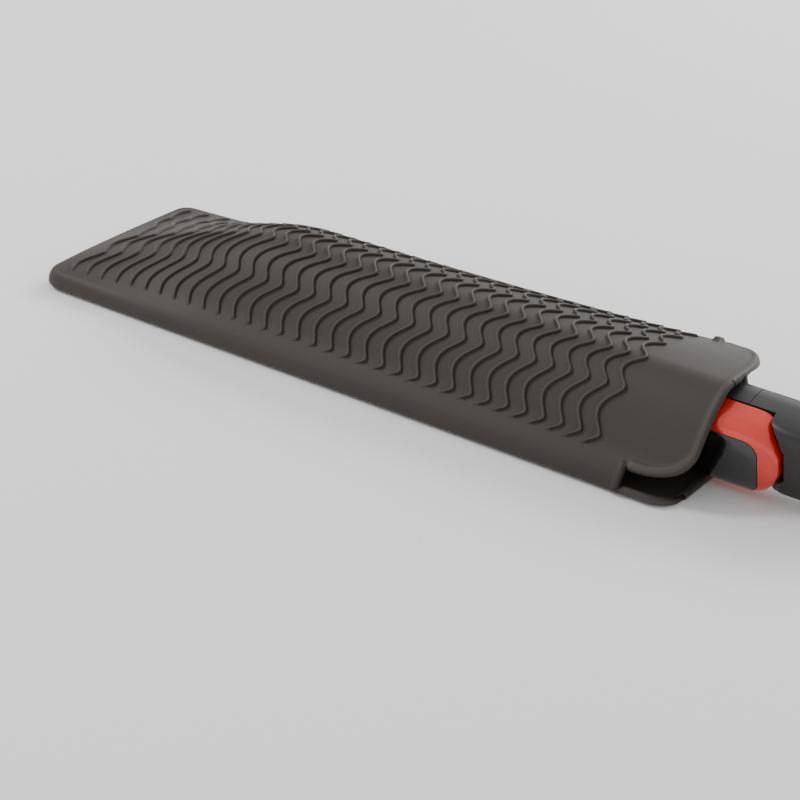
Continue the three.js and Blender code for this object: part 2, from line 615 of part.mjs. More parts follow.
// ---- Cord swivel: flange inside the tail, stem through its end, and a short nose ----
const CORD_R = 3.5;
const swivelProfile = [
  [CORD_R, 69.9], [6.2, 69.9], [6.2, 72.4], [SWIVEL_R, 72.4], [SWIVEL_R, TAIL_X + 0.5],
  [7, TAIL_X + 0.5], [7, TAIL_X + 3], [6.2, TAIL_X + 5], [5, TAIL_X + 12], [CORD_R, TAIL_X + 12],
  [CORD_R, 69.9],
];
const swivel = new THREE.LatheGeometry(swivelProfile.map(([r, x]) => new THREE.Vector2(r, x)), 24);
add(iron, 'cord_swivel', 'liner', toSolid(swivel.rotateZ(-Math.PI / 2)));

export default group;
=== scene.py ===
import json
import math

import bmesh
import bpy
import numpy as np
from mathutils import Matrix, Vector


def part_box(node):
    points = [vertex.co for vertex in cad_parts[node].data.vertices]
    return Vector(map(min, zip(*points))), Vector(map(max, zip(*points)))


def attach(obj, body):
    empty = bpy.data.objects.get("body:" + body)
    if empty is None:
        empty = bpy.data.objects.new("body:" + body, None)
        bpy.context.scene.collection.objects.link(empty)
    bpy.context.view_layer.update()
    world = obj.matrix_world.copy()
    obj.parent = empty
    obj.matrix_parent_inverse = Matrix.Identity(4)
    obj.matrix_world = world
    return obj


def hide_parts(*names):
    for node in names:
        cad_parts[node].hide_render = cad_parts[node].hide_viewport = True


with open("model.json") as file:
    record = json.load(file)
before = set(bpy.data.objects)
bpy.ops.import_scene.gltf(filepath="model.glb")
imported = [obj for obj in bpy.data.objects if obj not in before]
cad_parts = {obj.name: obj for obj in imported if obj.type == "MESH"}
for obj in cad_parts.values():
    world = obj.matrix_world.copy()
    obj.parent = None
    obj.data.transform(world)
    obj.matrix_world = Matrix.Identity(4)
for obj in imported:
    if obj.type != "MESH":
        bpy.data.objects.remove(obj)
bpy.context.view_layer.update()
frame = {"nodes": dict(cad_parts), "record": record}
MM = 0.001

# ---- Camera ----
camera_data = bpy.data.cameras.new("camera")
camera_data.sensor_width = 36
camera_data.lens = 106.294
camera_data.clip_start = 0.05
camera_data.clip_end = 20
camera = bpy.data.objects.new("camera", camera_data)
bpy.context.scene.collection.objects.link(camera)
forward = Vector((-0.48875156, 0.74307112, -0.45712933)).normalized()
right = Vector((0.82088306, 0.56912182, 0.04744852)).normalized()
up = right.cross(forward)
turn = Matrix((right, up, -forward)).transposed().to_4x4()
camera.matrix_world = Matrix.Translation((0.35595, -0.74239, 0.43354)) @ turn
bpy.context.scene.camera = camera

# ---- Pouch: driving dimensions in millimetres, the same as the CAD's ----
upper_high = np.array(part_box("pouch_upper_wall")[1]) / MM
lower_low, lower_high = (np.array(corner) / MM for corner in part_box("pouch_lower_wall"))
LENGTH = -lower_low[0]
FRONT_HALF = -lower_low[1]
BACK_HALF = lower_high[1]
UPPER_LIP = upper_high[0]        # how far the tongues run past the front seam
LOWER_LIP = lower_high[0]
CREST_Z = upper_high[2]
BACK_PULL = 10.5                 # how far the bulge draws the back rim in at the mouth
RIM = 9                          # height of the moulded rim
RIM_SPAN = 4.5                   # width of the rim's rounding
RIM_LOW = 3                      # height of the rim's parting line
CORNER = 9                       # plan radius of the closed end's corners
BACK_SEAM_X = -4                 # the back seam stops here, the front one at 0
BACK_RISE = 23.5                 # how far the iron lifts the back rim at the mouth
LIFT_POWER = 1.25
CREST_Y = -12.5
FLAT_Y = 9                       # the lower wall lies flat up to here and climbs behind it
CLIMB_POWER = 1.5
RAMP_START = -288                # the upper wall climbs evenly from here towards its crest
RAMP_LENGTH = 97
RAMP_EASE = 0.15                 # share of the climb that is rounded off at its top

# ---- Pouch: the tongues' outlines, as reach along X and inset along Y of the front corner ----
UPPER_CORNER = (20.0, 8.5)
LOWER_CORNER = (10.0, 9.0)
UPPER_TIP_Y = -6.0               # where the back edge's curve reaches the tongue's end
LOWER_TIP_Y = -2.0

# ---- Pouch: ribs ----
RIBS = 33
LAST_RIB = -20                   # front end of the rib nearest the mouth
RIB_PITCH = 8.03
RIB_HALF = 0.8
RIB_HEIGHT = 1.25
BACK_TAPER = 1.6                 # a rib runs out over this length at its back end
FRONT_TAPER = 0.8
FRONT_BLUNT = 0.3                # and has come up by this share of the taper where it starts
RIB_MARGIN = 4.2                 # plain strip between the front rim's rounding and the ribs
END_MARGIN_DROP = 2.5            # the strip is this much narrower at the closed end
BACK_MARGIN = 3.5                # the same strip along the back rim
RIB_PROFILE = [-1.0, -0.97, -0.85, -0.55, 0.0, 0.55, 0.85, 0.97, 1.0]
GAP_STATIONS = [3.1, 4.9]        # grid stations between a rib and the next one towards the mouth
END_STATIONS = [0, 1, 2.2, 3.6, 5]

# ---- Pouch: the ribs' bends ----
# Arc positions across the pouch, from the front rim, where every rib bends sharply towards the
# mouth. They drift from the closed end to the mouth.
CLOSED_BENDS = np.array([-22.0, -5.0, 14.7, 34.8, 52.0, 68.0, 84.0, 100.0, 116.0])
MOUTH_BENDS = np.array([-5.0, 9.8, 30.3, 45.4, 61.3, 77.3, 93.5, 110.0, 126.0])
BEND_SOFT = 0.3                  # 0 would make every bend a sharp corner
SWING_SPAN = 0.744               # what the softened swing spans, so that the wave runs from -1 to 1
WAVE_SIZE = 2.0                  # half of a wave's height, at the closed end
WAVE_GROWTH = 0.7                # the waves are this much bigger away from the closed end
CALM = 0.5                       # the waves are this much weaker behind the crest at the closed end
TILT = 0.12                      # slope of a rib's mean line, and how much is added over the ramp
RAMP_TILT = 0.3
LEAN_ARC = 43                    # the mean line turns over the crest here
BACK_LEAN = 0.05
END_UNDO = 7                     # the first ribs swing back by this, parallel to the closed end
END_HOLD = 0.6                   # a station covers at most this share of its way to the closed end
END_FADE = 5                     # lengths over which the grid's bends fade: at the closed end,
EDGE_FADE = 7                    # near the tongue's edges,
PAST_FADE = 26                   # and past the last rib

# ---- Pouch: edges ----
LIP_BEAD = 0.9
BEAD_WIDTH = 2.3
BEAD_EDGE = 0.9
TAB = 1.1                        # the raised tabs at the ends of the side seams
TAB_WIDE = 1.4
BACK_TAB = 1.6
BACK_TAB_WIDE = 1.8
TAB_REACH = 1.6                  # how far they run in over the wall, and how they fade out there
TAB_FADE = 1.2
TAB_END = 0.5                    # how they fade out along X
SKIN = 1.9                       # thickness of the wall
UPPER_BEAD_INSIDE = 0.4          # share of the bead's height that stands out on the inner skin
LOWER_BEAD_INSIDE = 1.0
EDGE_BULGE = 0.8                 # how round the free edge is: 1 would be a half circle
PARTING_GAP = 0.005              # each wall stops this far short of the parting line

# ---- Pouch: how finely the walls are divided ----
UPPER_ROWS = 103
LOWER_ROWS = 46
PROBES = 300
BAND_STEPS = 6
EDGE_STEPS = 4


def smooth(t):
    t = np.clip(t, 0, 1)
    return t * t * (3 - 2 * t)


def fade(value, start, length):
    """Climbs smoothly from 0 at start to 1 at start + length."""
    return smooth((value - start) / length)


def ellipse_end(t):
    return np.sqrt(np.clip(1 - t * t, 0, 1))


def unit_rows(vectors):
    return vectors / np.maximum(np.linalg.norm(vectors, axis=1, keepdims=True), 1e-9)


def along(x):
    return np.clip((LENGTH + x) / LENGTH, 0, None)


def rim_lift(x):
    return BACK_RISE * along(x) ** LIFT_POWER


def rim_edges(x):
    front = -(FRONT_HALF - RIM_SPAN) + 0 * x
    back = BACK_HALF - BACK_PULL * along(x) ** 2 - RIM_SPAN
    return front, back


def doming(x):
    """Share of the crest's height at x: an even climb that levels off smoothly."""
    climbed = np.clip((x - RAMP_START) / RAMP_LENGTH, 0, 1 + RAMP_EASE)
    eased = 1 - (1 + RAMP_EASE - climbed) ** 2 / (4 * RAMP_EASE)
    return np.where(climbed < 1 - RAMP_EASE, climbed, eased)


def upper_z(x, y):
    front, back = rim_edges(x)
    y = np.clip(y, front, back)
    back_top = RIM + rim_lift(x)
    level = RIM + (back_top - RIM) * smooth((y - front) / (back - front))
    quarter = math.pi / 2
    climb = RIM + (CREST_Z - RIM) * np.sin(quarter * (y - front) / (CREST_Y - front))
    fall = back_top + (CREST_Z - back_top) * np.cos(quarter * (y - CREST_Y) / (back - CREST_Y))
    return level + (np.where(y < CREST_Y, climb, fall) - level) * doming(x)


# The upper wall's foot in front: one smooth curve from the parting line up into the slope.
FOOT_Y = -40.0
FOOT_PULL = 3.5
FOOT_RISE = 5.0
FOOT_START = -276
FOOT_LENGTH = 40
foot_t = np.linspace(0, 1, 200)
foot_ys = (
    -FRONT_HALF * (1 - foot_t) ** 3
    - 3 * FRONT_HALF * foot_t * (1 - foot_t) ** 2
    + 3 * (FOOT_Y - FOOT_PULL) * foot_t**2 * (1 - foot_t)
    + FOOT_Y * foot_t**3
)


def foot_z(x, y):
    """Height of the foot's curve at y, in front of FOOT_Y."""
    t = np.interp(y, foot_ys, foot_t)
    top = upper_z(x, FOOT_Y)
    slope = (upper_z(x, FOOT_Y + 0.1) - top) / 0.1
    rise = RIM_LOW + FOOT_RISE
    last = top - FOOT_PULL * slope
    low_part = RIM_LOW * (1 - t) ** 3 + 3 * rise * t * (1 - t) ** 2
    return low_part + 3 * last * t**2 * (1 - t) + top * t**3


def foot_share(x):
    return fade(x, FOOT_START, FOOT_LENGTH)


def upper_surface(x, y):
    z = upper_z(x, y)
    share = np.where(y < FOOT_Y, foot_share(x), 0)
    return z + (foot_z(x, y) - z) * share


def lower_z(x, y):
    _, back = rim_edges(x)
    return rim_lift(x) * (np.clip(y - FLAT_Y, 0, None) / (back - FLAT_Y)) ** CLIMB_POWER


def rib_station(i):
    """Where a rib's front end lies along X."""
    return LAST_RIB - RIB_PITCH * (RIBS - 1 - i)


def rib_start(x):
    """Arc position of a rib's front end."""
    return RIB_MARGIN - END_MARGIN_DROP * (1 - fade(x, -275, 40))


def rib_shape(x, arc):
    bends = CLOSED_BENDS + (MOUTH_BENDS - CLOSED_BENDS) * np.sqrt(along(x))
    phase = np.interp(arc, bends, np.arange(len(bends)))
    swing = np.sqrt(np.sin(math.pi * phase) ** 2 + BEND_SOFT**2)
    wave = 1 - 2 * (swing - BEND_SOFT) / SWING_SPAN
    calm = CALM * (1 - fade(x, -250, 50)) * fade(arc, 36, 10)
    size = (WAVE_SIZE + WAVE_GROWTH * fade(x, -270, 60)) * (1 - calm)
    towards_mouth = 1 - np.clip((x + 200) / 180, 0, 1)
    tilt = TILT + RAMP_TILT * np.minimum(fade(x, -285, 42), towards_mouth)
    lean = tilt * np.minimum(arc, LEAN_ARC) - BACK_LEAN * np.clip(arc - LEAN_ARC, 0, None)
    undo = END_UNDO * (1 - fade(x, -270, 50)) * fade(arc, 40, 30)
    return size * wave + lean - undo


def rib_offset(x, arc):
    """How far a rib at x bends along X at this arc position across the pouch."""
    return rib_shape(x, arc) - rib_shape(x, rib_start(x))


def rib_heights(columns, arcs, totals):
    """Height of the ribs over the upper wall's grid."""
    ribs = np.zeros(arcs.shape)
    for i in range(RIBS):
        distance = np.abs(columns - rib_station(i)) / RIB_HALF
        profile = np.where(distance < 1.001, ellipse_end(np.minimum(distance, 1) ** 2), 0)
        ends = smooth((arcs - rib_start(columns)[:, None]) / FRONT_TAPER + FRONT_BLUNT)
        ends = ends * smooth((totals[:, None] - BACK_MARGIN - arcs) / BACK_TAPER)
        ribs = np.maximum(ribs, RIB_HEIGHT * profile[:, None] * np.sqrt(ends))
    return ribs


def wall_columns(lip, fine):
    """Stations along a wall: dense over each rib's profile, then the tongue past the mouth."""
    start = -LENGTH + RIM_SPAN
    if fine:
        columns = [start + step for step in END_STATIONS]
        for i in range(RIBS):
            columns += [rib_station(i) + RIB_HALF * t for t in RIB_PROFILE]
            columns += [rib_station(i) + step for step in GAP_STATIONS]
        columns = [c for c in columns if c < LAST_RIB + RIB_HALF + 0.1]
        columns += list(np.linspace(LAST_RIB + 3, BACK_SEAM_X - 5, 4))
    else:
        columns = list(start + CORNER * (1 - np.cos(np.linspace(0, math.pi / 2, 6))))
        columns += list(np.linspace(start + CORNER + 6, BACK_SEAM_X - 5, 60))
    columns += list(np.linspace(BACK_SEAM_X - 4, 0, 17))
    columns += list(lip * np.sin(np.linspace(0, math.pi / 2, 26)))
    return np.array(sorted(set(np.round(columns, 3))))


def sweep(x, arc, total):
    """How far a point of the upper wall's grid moves along X, so that the grid follows the ribs."""
    from_end = x + LENGTH - RIM_SPAN
    past = max(x - LAST_RIB - RIB_HALF, 0)
    inside = smooth(arc / EDGE_FADE) * smooth((total - arc) / EDGE_FADE)
    held = 1 - smooth(past / EDGE_FADE) * (1 - inside)
    shift = rib_offset(min(x, LAST_RIB), arc) * (1 - smooth(past / PAST_FADE))
    return np.maximum(shift, -END_HOLD * from_end) * smooth(from_end / END_FADE) * held


def wall_grid(columns, rows, upper):
    """A wall inside its rim: plan positions, arc positions from the front, and their totals."""
    lip = UPPER_LIP if upper else LOWER_LIP
    corner_reach, corner_inset = UPPER_CORNER if upper else LOWER_CORNER
    tip_y = UPPER_TIP_Y if upper else LOWER_TIP_Y
    share = np.linspace(0, 1, rows)
    xs, ys, arcs = (np.zeros((len(columns), rows)) for _ in range(3))
    totals = np.zeros(len(columns))
    for i, x in enumerate(columns):
        front, back = (float(v) for v in rim_edges(np.array(min(x, BACK_SEAM_X))))
        over = np.clip((x - (lip - corner_reach)) / corner_reach, 0, 1)
        low = front + corner_inset * (1 - ellipse_end(over))
        reach = np.clip((x - BACK_SEAM_X) / (lip - BACK_SEAM_X), 0, 1)
        high = tip_y + (back - tip_y) * ellipse_end(reach)
        probe = np.linspace(low, high, PROBES)
        height = (upper_z if upper else lower_z)(x, probe)
        arc = np.concatenate([[0], np.cumsum(np.hypot(np.diff(probe), np.diff(height)))])
        arcs[i] = share * arc[-1]
        totals[i] = arc[-1]
        ys[i] = np.interp(arcs[i], arc, probe)
        xs[i] = x
        if upper:
            xs[i] = x + sweep(x, arcs[i], arc[-1])
            part = (ys[i] - low) / (high - low)
            if x <= BACK_SEAM_X:
                front_now, back_now = rim_edges(xs[i])
                ys[i] = front_now + part * (back_now - front_now)
    return xs, ys, arcs, totals


def round_corners(xs, ys):
    """Rounds the two corners of the closed end, and gives the outward directions there."""
    radius = CORNER - RIM_SPAN
    out = np.zeros((*xs.shape, 2))
    start = -LENGTH + RIM_SPAN
    front, back = rim_edges(xs)
    for side, edge in ((-1, front), (1, back)):
        a = (radius - (xs - start)) / radius
        b = (radius - np.abs(edge - ys)) / radius
        near = (a > 0) & (b > 0)
        size = np.maximum(np.hypot(a, b), 1e-6)
        scale = np.maximum(a, b) / size
        xs = np.where(near, start + radius - a * scale * radius, xs)
        ys = np.where(near, edge - side * (radius - b * scale * radius), ys)
        out[..., 0] = np.where(near, -a / size, out[..., 0])
        out[..., 1] = np.where(near, side * b / size, out[..., 1])
    return xs, ys, out


def outward_directions(place, loop, columns, out):
    """Directions in plan that point out of the wall round its edge."""
    last_row = out.shape[1] - 1
    tangent = np.gradient(place[:, :2], axis=0)
    outward = unit_rows(np.stack([tangent[:, 1], -tangent[:, 0]], -1))
    if outward[0, 1] > 0:
        outward = -outward
    for k, (i, j) in enumerate(loop):
        if columns[i] <= BACK_SEAM_X:
            known = out[i, j]
            straight = (0, -1) if j == 0 else (0, 1) if j == last_row else (-1, 0)
            outward[k] = known if np.any(known) else straight
    return outward


def rim_ring(place, outward, span, parting, angle, upper):
    """One step of the rim's rounding, at this angle round from the wall to the parting line."""
    move = outward * (span * math.sin(angle))[:, None]
    drop = (place[:, 2] - parting) * (1 - math.cos(angle)) * (span / RIM_SPAN)
    ring = np.column_stack([place[:, :2] + move, place[:, 2] - drop])
    if upper:
        share = foot_share(place[:, 0]) * (outward[:, 1] < -0.999)
        curve = foot_z(ring[:, 0], ring[:, 1]) + PARTING_GAP * math.sin(angle)
        ring[:, 2] += (curve - ring[:, 2]) * share
    return ring


def vertex_normals(points, quads):
    corners = points[quads]
    faces = np.cross(corners[:, 2] - corners[:, 0], corners[:, 3] - corners[:, 1])
    normals = np.zeros_like(points)
    for k in range(4):
        np.add.at(normals, quads[:, k], faces)
    return unit_rows(normals)


def distance_to(points, line):
    """Distance in plan from each point to a chain of points."""
    best = np.full(len(points), 1e9)
    for a, b in zip(line[:-1], line[1:]):
        along_edge = b - a
        t = np.clip((points - a) @ along_edge / max(along_edge @ along_edge, 1e-9), 0, 1)
        best = np.minimum(best, np.linalg.norm(points - a - t[:, None] * along_edge, axis=1))
    return best


def lip_bead(points, edge_line):
    """Height of the bead round a tongue's free edge. It ends at the side seams."""
    bead = np.zeros(len(points))
    close = np.where(points[:, 0] > -3)[0]
    gap = distance_to(points[close, :2], edge_line)
    bead[close] = LIP_BEAD * smooth((BEAD_WIDTH - gap) / BEAD_EDGE)
    front = fade(points[:, 0], -0.2, 0.6)
    back = fade(points[:, 0], BACK_SEAM_X - 0.4, 0.6)
    return bead * np.where(points[:, 1] < 0, front, back)


def seam_tabs(points):
    """Height of the short raised tabs on the rim at the ends of the side seams."""
    front = smooth((-FRONT_HALF + RIM_SPAN + TAB_REACH - points[:, 1]) / TAB_FADE)
    front *= smooth((TAB_WIDE - np.abs(points[:, 0] + TAB_WIDE)) / TAB_END)
    back_edge = rim_edges(np.full(len(points), float(BACK_SEAM_X)))[1]
    back = smooth((points[:, 1] - back_edge + TAB_REACH) / TAB_FADE)
    back *= smooth((BACK_TAB_WIDE - np.abs(points[:, 0] - BACK_SEAM_X + BACK_TAB_WIDE)) / TAB_END)
    return np.maximum(TAB * front, BACK_TAB * back)


def boundary(quads):
    """The open edge of a sheet of quads, as one chain of vertices."""
    edges = {}
    for quad in quads:
        for k in range(4):
            a, b = quad[k], quad[(k + 1) % 4]
            if (b, a) in edges:
                del edges[(b, a)]
            else:
                edges[(a, b)] = True
    follow = dict(edges.keys())
    chain = [next(iter(follow))]
    while follow[chain[-1]] != chain[0]:
        chain.append(follow[chain[-1]])
    return np.array(chain)


def finish_mesh(name, points, faces, material, body, painted_highlight, replaced=(), hard=()):
    mesh = bpy.data.meshes.new(name)
    mesh.from_pydata((np.asarray(points) * MM).tolist(), [], faces)
    mesh.validate()
    mesh.polygons.foreach_set("use_smooth", [True] * len(mesh.polygons))
    is_hard = np.zeros(len(points), bool)
    is_hard[np.asarray(hard, int)] = True
    ends = np.zeros(2 * len(mesh.edges), int)
    mesh.edges.foreach_get("vertices", ends)
    sharp = is_hard[ends.reshape(-1, 2)].all(axis=1)
    mesh.edges.foreach_set("use_edge_sharp", sharp.tolist())
    mesh.materials.append(material)
    # Per-point strength of the painted highlight, which the silicone material reads.
    mesh.attributes.new("painted_highlight", "FLOAT", "POINT").data.foreach_set("value", painted_highlight)
    obj = bpy.data.objects.new(name, mesh)
    bpy.context.scene.collection.objects.link(obj)
    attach(obj, body)
    if replaced:
        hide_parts(*replaced)
    return obj


def build_wall(name, node, upper, material):
    """One wall of the pouch as a closed shell: outer skin, inner skin and a rounded edge."""
    columns = wall_columns(UPPER_LIP if upper else LOWER_LIP, upper)
    count = len(columns)
    rows = UPPER_ROWS if upper else LOWER_ROWS
    front_seam = int(np.argmin(np.abs(columns)))
    back_seam = int(np.argmin(np.abs(columns - BACK_SEAM_X)))
    xs, ys, arcs, totals = wall_grid(columns, rows, upper)
    xs, ys, out = round_corners(xs, ys)
    surface = upper_surface if upper else lower_z
    points = [np.stack([xs, ys, surface(xs, ys)], -1).reshape(-1, 3)]
    index = np.arange(count * rows).reshape(count, rows)
    around = [index[:-1, :-1], index[1:, :-1], index[1:, 1:], index[:-1, 1:]]
    quads = [np.stack(around, -1).reshape(-1, 4)]
    # The rim: a band of rounding steps outside the grid's edge, all round except where the upper
    # wall's tongue leaves the front seam.
    first = front_seam if upper else count - 1
    loop = [(i, 0) for i in range(first, 0, -1)]
    loop += [(0, j) for j in range(rows)]
    loop += [(i, rows - 1) for i in range(1, count)]
    base = np.array([index[k] for k in loop])
    place = points[0][base]
    outward = outward_directions(place, loop, columns, out)
    beyond = np.array([columns[i] > BACK_SEAM_X for i, j in loop])
    span = np.where(beyond, RIM_SPAN * outward[:, 1] ** 2, RIM_SPAN)
    lift = np.where(place[:, 1] > 0, rim_lift(np.minimum(place[:, 0], 0)), 0)
    parting = RIM_LOW + lift + (PARTING_GAP if upper else -PARTING_GAP)
    rings = [base]
    for step in range(1, BAND_STEPS + 1):
        angle = math.pi / 2 * step / BAND_STEPS
        rings.append(np.arange(len(place)) + sum(len(p) for p in points))
        points.append(rim_ring(place, outward, span, parting, angle, upper))
    for low, high in zip(rings[:-1], rings[1:]):
        quads.append(np.stack([low[:-1], low[1:], high[1:], high[:-1]], -1))
    points = np.concatenate(points)
    quads = np.concatenate(quads)
    normals = vertex_normals(points, quads)
    if (normals[index[count // 2, rows // 2], 2] > 0) != upper:
        quads = quads[:, ::-1]
        normals = -normals
    # The tongue's free edge, in order, carries the bead.
    end_edge = [index[count - 1, j] for j in range(rows)]
    back_edge = list(rings[-1][-(count - back_seam):][::-1])
    if upper:
        front_edge = [index[i, 0] for i in range(front_seam, count)]
    else:
        front_edge = list(rings[-1][: count - front_seam][::-1])
    bead = lip_bead(points, points[np.array(front_edge + end_edge + back_edge)][:, :2])
    # Painted highlight along the lip: the bead's colour is mixed paler with its height.
    painted_highlight = (bead / LIP_BEAD) ** 2
    tabs = seam_tabs(points)
    if upper:
        raised = bead + tabs
        ribs = rib_heights(columns, arcs, totals).reshape(-1)
        raised[: len(ribs)] += ribs
        # The tops of the ribs are painted a little paler, a painted highlight like the bead's.
        painted_highlight[: len(ribs)] = np.maximum(painted_highlight[: len(ribs)], (ribs / RIB_HEIGHT) ** 3)
    else:
        raised = tabs * (1 - normals[:, 2] ** 2)
    inner_bead = UPPER_BEAD_INSIDE if upper else LOWER_BEAD_INSIDE
    outer = points + normals * raised[:, None]
    inner = points - normals * (SKIN + inner_bead * bead[:, None])
    if not upper:
        outer[:, 2] = np.maximum(outer[:, 2], 0)
    # Join the two skins round their whole boundary with a half-round edge.
    chain = boundary(quads)
    total = len(points)
    tangent = np.roll(outer[chain], -1, axis=0) - np.roll(outer[chain], 1, axis=0)
    side = unit_rows(np.cross(tangent, normals[chain]))
    middle = (outer[chain] + inner[chain]) / 2
    half = (outer[chain] - inner[chain]) / 2
    seam_x = np.where(points[chain][:, 1] < 0, 0.01, BACK_SEAM_X + 0.01)
    meets = points[chain][:, 0] < seam_x
    bulge = np.linalg.norm(half, axis=1, keepdims=True) * EDGE_BULGE
    bulge = np.where(meets[:, None], 0.0, bulge)
    strips = [chain]
    extra = []
    for step in range(1, EDGE_STEPS):
        angle = math.pi * step / EDGE_STEPS
        strips.append(np.arange(len(chain)) + 2 * total + len(extra) * len(chain))
        extra.append(middle + half * math.cos(angle) + side * bulge * math.sin(angle))
    strips.append(chain + total)
    all_points = np.concatenate([outer, inner] + extra)
    all_quads = [quads, quads[:, ::-1] + total]
    for a, b in zip(strips[:-1], strips[1:]):
        all_quads.append(np.stack([np.roll(a, -1), a, b, np.roll(b, -1)], -1))
    faces = np.concatenate(all_quads).tolist()
    # Shading breaks along the parting line and the foot of each rib.
    hard = np.concatenate([chain[meets], chain[meets] + total])
    if upper:
        feet = [np.abs(np.abs(columns - rib_station(i)) - RIB_HALF) < 0.01 for i in range(RIBS)]
        hard = np.concatenate([hard, index[np.any(feet, axis=0)].reshape(-1)])
    painted_highlight = np.concatenate([painted_highlight, np.zeros(len(all_points) - total)])
    return finish_mesh(name, all_points, faces, material, "pouch", painted_highlight, [node], hard)


# ---- Materials ----
def new_material(name):
    """A node material, its shader, and the object coordinates that its patterns use."""
    mat = bpy.data.materials.new(name)
    mat.use_nodes = True
    tree = mat.node_tree
    return mat, tree, tree.nodes["Principled BSDF"], tree.nodes.new("ShaderNodeTexCoord")


def noise(tree, place, scale, detail):
    node = tree.nodes.new("ShaderNodeTexNoise")
    node.inputs["Scale"].default_value = scale
    node.inputs["Detail"].default_value = detail
    tree.links.new(place.outputs["Object"], node.inputs["Vector"])
    return node.outputs["Fac"]


def colour_ramp(tree, factor, low, low_colour, high, high_colour):
    node = tree.nodes.new("ShaderNodeValToRGB")
    first, last = node.color_ramp.elements
    first.position, first.color = low, (*low_colour, 1)
    last.position, last.color = high, (*high_colour, 1)
    tree.links.new(factor, node.inputs["Fac"])
    return node.outputs["Color"]


def vary_roughness(tree, shader, factor, low, high):
    node = tree.nodes.new("ShaderNodeMapRange")
    node.inputs["To Min"].default_value = low
    node.inputs["To Max"].default_value = high
    tree.links.new(factor, node.inputs["Value"])
    tree.links.new(node.outputs["Result"], shader.inputs["Roughness"])


def add_grain(tree, shader, height, strength, depth):
    node = tree.nodes.new("ShaderNodeBump")
    node.inputs["Strength"].default_value = strength
    node.inputs["Distance"].default_value = depth
    tree.links.new(height, node.inputs["Height"])
    tree.links.new(node.outputs["Normal"], shader.inputs["Normal"])


def silicone_material():
    """Matt dark silicone: cloudy colour, pale dust specks, and a painted highlight on the tops of
    the ribs and the bead.
    """
    mat, tree, shader, place = new_material("silicone")
    shader.inputs["Sheen Weight"].default_value = 0.05
    shader.inputs["Sheen Roughness"].default_value = 0.4
    shader.inputs["Specular IOR Level"].default_value = 0.42
    cloud = noise(tree, place, 24, 4)
    dust = noise(tree, place, 900, 2)
    grain = noise(tree, place, 2600, 1)
    tint = colour_ramp(tree, cloud, 0.3, (0.027, 0.0222, 0.019), 0.7, (0.035, 0.0288, 0.0245))
    specks = colour_ramp(tree, dust, 0.72, (0, 0, 0), 0.8, (0.02, 0.019, 0.018))
    dusty = tree.nodes.new("ShaderNodeMix")
    dusty.data_type = "RGBA"
    dusty.blend_type = "ADD"
    dusty.inputs["Factor"].default_value = 1
    tree.links.new(tint, dusty.inputs["A"])
    tree.links.new(specks, dusty.inputs["B"])
    # Painted highlight: the rib tops and the lip bead are mixed towards a paler colour by the
    # highlight attribute.
    painted_highlight = tree.nodes.new("ShaderNodeAttribute")
    painted_highlight.attribute_name = "painted_highlight"
    highlighted = tree.nodes.new("ShaderNodeMix")
    highlighted.data_type = "RGBA"
    highlighted.inputs["B"].default_value = (0.048, 0.041, 0.036, 1)
    tree.links.new(painted_highlight.outputs["Fac"], highlighted.inputs["Factor"])
    tree.links.new(dusty.outputs["Result"], highlighted.inputs["A"])
    tree.links.new(highlighted.outputs["Result"], shader.inputs["Base Color"])
    vary_roughness(tree, shader, cloud, 0.5, 0.68)
    add_grain(tree, shader, grain, 0.25, 0.00008)
    return mat


def plain(name, colour, roughness, metallic=0.0, coat=0.0, grain=0.0, grain_scale=2000, wear=0.1):
    """A procedural finish: cloudy colour and roughness, with fine moulded or ground grain."""
    mat, tree, shader, place = new_material(name)
    shader.inputs["Metallic"].default_value = metallic
    shader.inputs["Coat Weight"].default_value = coat
    shader.inputs["Coat Roughness"].default_value = 0.04
    shader.inputs["Specular IOR Level"].default_value = 0.5
    cloud = noise(tree, place, 45, 5)
    darker = [c * (1 - wear) for c in colour]
    paler = [c * (1 + wear) for c in colour]
    tint = colour_ramp(tree, cloud, 0.3, darker, 0.7, paler)
    tree.links.new(tint, shader.inputs["Base Color"])
    vary_roughness(tree, shader, cloud, roughness * 0.85, min(1.0, roughness * 1.2))
    add_grain(tree, shader, noise(tree, place, grain_scale, 2), grain, 0.0001)
    return mat


silicone = silicone_material()
build_wall("pouch_upper", "pouch_upper_wall", True, silicone)
build_wall("pouch_lower", "pouch_lower_wall", False, silicone)

RED = (0.7, 0.024, 0.012)
finishes = {
    "silicone": silicone,
    "casing": plain("casing", (0.016, 0.0145, 0.014), 0.42, grain=0.35, grain_scale=3000),
    "gloss_black": plain("gloss_black", (0.004, 0.004, 0.004), 0.1, coat=1.0, grain=0.02),
    "red_trim": plain(
        "red_trim", RED, 0.27, 0.4, coat=1.0, grain=0.08, grain_scale=5000, wear=0.05
    ),
    "liner": plain("liner", (0.018, 0.018, 0.02), 0.38, grain=0.25),
    "carrier": plain("carrier", (0.03, 0.027, 0.024), 0.55, grain=0.3),
    "plate": plain("plate", (0.22, 0.225, 0.24), 0.2, metallic=0.9, coat=0.3, grain=0.03),
    "ceramic": plain("ceramic", (0.79, 0.75, 0.67), 0.7, grain=0.4),
    "mica": plain("mica", (0.46, 0.34, 0.16), 0.35, grain=0.15, wear=0.3),
    "cushion": plain("cushion", (0.4, 0.07, 0.03), 0.6, grain=0.2),
    "steel": plain("steel", (0.5, 0.52, 0.54), 0.28, metallic=1.0, grain=0.1),
    "brass": plain("brass", (0.55, 0.35, 0.08), 0.3, metallic=1.0, grain=0.1),
    "board": plain("board", (0.012, 0.1, 0.035), 0.4, coat=0.4, grain=0.1),
    "lead": plain("lead", (0.8, 0.78, 0.72), 0.55, grain=0.2),
}
slot_of = {row["node"]: row["material_slot"] for row in frame["record"]["subparts"]}
